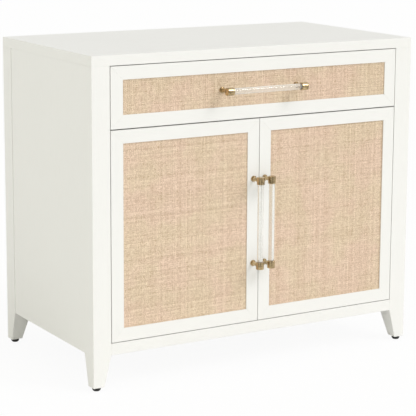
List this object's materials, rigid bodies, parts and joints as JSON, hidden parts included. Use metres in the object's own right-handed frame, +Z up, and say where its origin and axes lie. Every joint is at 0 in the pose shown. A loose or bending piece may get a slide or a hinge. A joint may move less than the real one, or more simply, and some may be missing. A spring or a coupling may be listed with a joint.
{
  "type": "two-door cabinet with drawer",
  "caption": "White painted wood cabinet: a wide drawer over inset doors, mitred frames with woven raffia panels, clear rod pulls with brass ends, tapered legs.",
  "frame": {"origin": "on the floor, at the middle of the whole cabinet, pulls included", "axes": "+X along the width to the right as seen from the front, +Y from the front towards the back, +Z up; the doors and drawer face -Y"},
  "size_m": [0.965, 0.5752, 0.845],
  "materials": {
    "white_paint": "satin white paint over brushed wood",
    "inside_paint": "satin off-white paint",
    "birch": "clear satin lacquer",
    "raffia": "natural woven raffia",
    "brass": "brushed",
    "clear_acrylic": "polished, clear",
    "steel": "zinc plated",
    "black_plastic": "matt",
    "white_plastic": "matt"
  },
  "bodies": {
    "cabinet": {"top_panel": "white_paint", "front_left_post": "white_paint", "front_right_post": "white_paint", "rear_left_post": "white_paint", "rear_right_post": "white_paint", "left_side_panel": "white_paint", "right_side_panel": "white_paint", "back_panel": "birch", "back_top_rail": "inside_paint", "back_bottom_rail": "inside_paint", "front_bottom_rail": "white_paint", "front_top_rail": "inside_paint", "bottom_panel": "inside_paint", "divider_rail": "inside_paint", "divider_panel": "inside_paint", "shelf": "inside_paint", "shelf_pins": "steel", "slide_battens": "inside_paint", "foot_glides": "black_plastic", "outer_slide_members": "steel", "hinge_plates": "steel", "hinge_arms": "steel", "hinge_pins": "steel", "magnetic_catch": "white_plastic", "cabinet_screws": "steel"},
    "drawer": {"drawer_front_rails": "white_paint", "drawer_front_stiles": "white_paint", "drawer_front_board": "birch", "drawer_front_raffia": "raffia", "drawer_box_front": "birch", "drawer_box_back": "birch", "drawer_sides": "birch", "drawer_bottom": "birch", "inner_slide_members": "steel", "drawer_handle_ends": "brass", "drawer_handle_rod": "clear_acrylic", "drawer_screws": "steel"},
    "middle_slides": {"middle_slide_members": "steel"},
    "outer_cages": {"outer_ball_cages": "steel"},
    "inner_cages": {"inner_ball_cages": "steel"},
    "left_door": {"left_door_hinge_stile": "white_paint", "left_door_meeting_stile": "white_paint", "left_door_rails": "white_paint", "left_door_board": "birch", "left_door_raffia": "raffia", "left_door_hinge_cups": "steel", "left_door_handle_ends": "brass", "left_door_handle_rod": "clear_acrylic", "left_door_strike_plate": "steel", "left_door_screws": "steel"},
    "right_door": {"right_door_hinge_stile": "white_paint", "right_door_meeting_stile": "white_paint", "right_door_rails": "white_paint", "right_door_board": "birch", "right_door_raffia": "raffia", "right_door_hinge_cups": "steel", "right_door_handle_ends": "brass", "right_door_handle_rod": "clear_acrylic", "right_door_strike_plate": "steel", "right_door_screws": "steel"}
  },
  "joints": [
    {"name": "drawer_slide", "type": "slide", "parent": "cabinet", "child": "drawer", "axis": [0, -1, 0], "range_m": [0, 0.45]},
    {"name": "middle_slide", "type": "slide", "parent": "cabinet", "child": "middle_slides", "axis": [0, -1, 0], "range_m": [0, 0.225]},
    {"name": "outer_cage_slide", "type": "slide", "parent": "cabinet", "child": "outer_cages", "axis": [0, -1, 0], "range_m": [0, 0.1125]},
    {"name": "inner_cage_slide", "type": "slide", "parent": "cabinet", "child": "inner_cages", "axis": [0, -1, 0], "range_m": [0, 0.3375]},
    {"name": "left_door_hinge", "type": "hinge", "parent": "cabinet", "child": "left_door", "pos_m": [-0.4085, -0.23387, 0.3905], "axis": [0, 0, -1], "range_deg": [0, 95]},
    {"name": "right_door_hinge", "type": "hinge", "parent": "cabinet", "child": "right_door", "pos_m": [0.4085, -0.23387, 0.3905], "axis": [0, 0, 1], "range_deg": [0, 95]}
  ],
  "couplings": [
    {"joint": "middle_slide", "follows": "drawer_slide", "ratio": 0.5},
    {"joint": "outer_cage_slide", "follows": "drawer_slide", "ratio": 0.25},
    {"joint": "inner_cage_slide", "follows": "drawer_slide", "ratio": 0.75}
  ]
}
